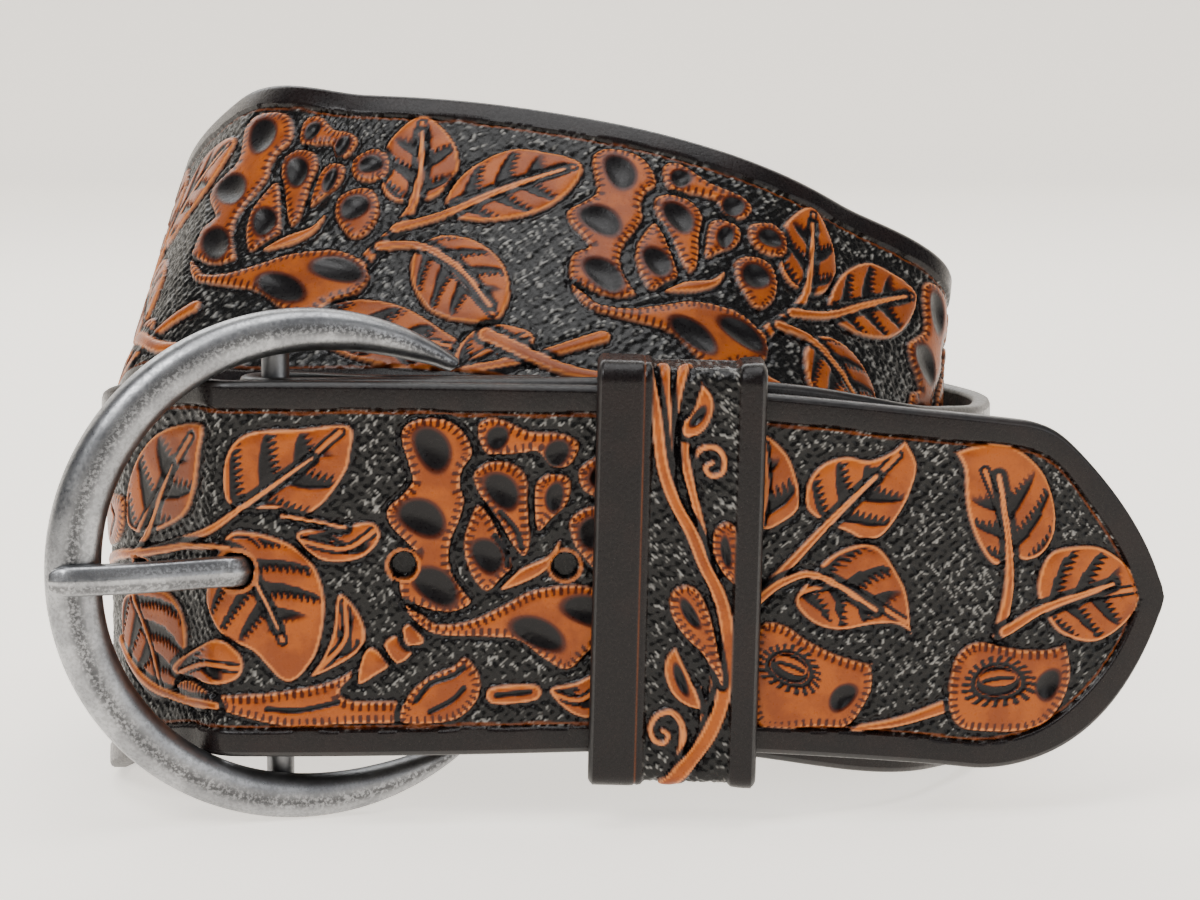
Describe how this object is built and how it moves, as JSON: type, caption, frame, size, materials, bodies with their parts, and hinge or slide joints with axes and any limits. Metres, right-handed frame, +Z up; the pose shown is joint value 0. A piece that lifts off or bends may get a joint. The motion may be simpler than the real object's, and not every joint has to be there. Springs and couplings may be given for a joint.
{
  "type": "western tooled belt",
  "caption": "Wide western leather belt with floral tooling, fastened by a horseshoe buckle and coiled in two turns.",
  "frame": {"origin": "middle of the belt's footprint on the surface it stands on", "axes": "+Z up along the coil's axis, -Y towards the viewer of the buckle, +X towards the strap's tip"},
  "size_m": [0.1746, 0.1326, 0.1092],
  "materials": {
    "tooled_leather": "tan tooling on a near black ground, waxed",
    "antique_silver": "antiqued silver plate, brushed"
  },
  "bodies": {
    "root": {"strap": "tooled_leather", "keeper": "tooled_leather", "buckle_frame": "antique_silver", "buckle_prong": "antique_silver"}
  },
  "joints": []
}
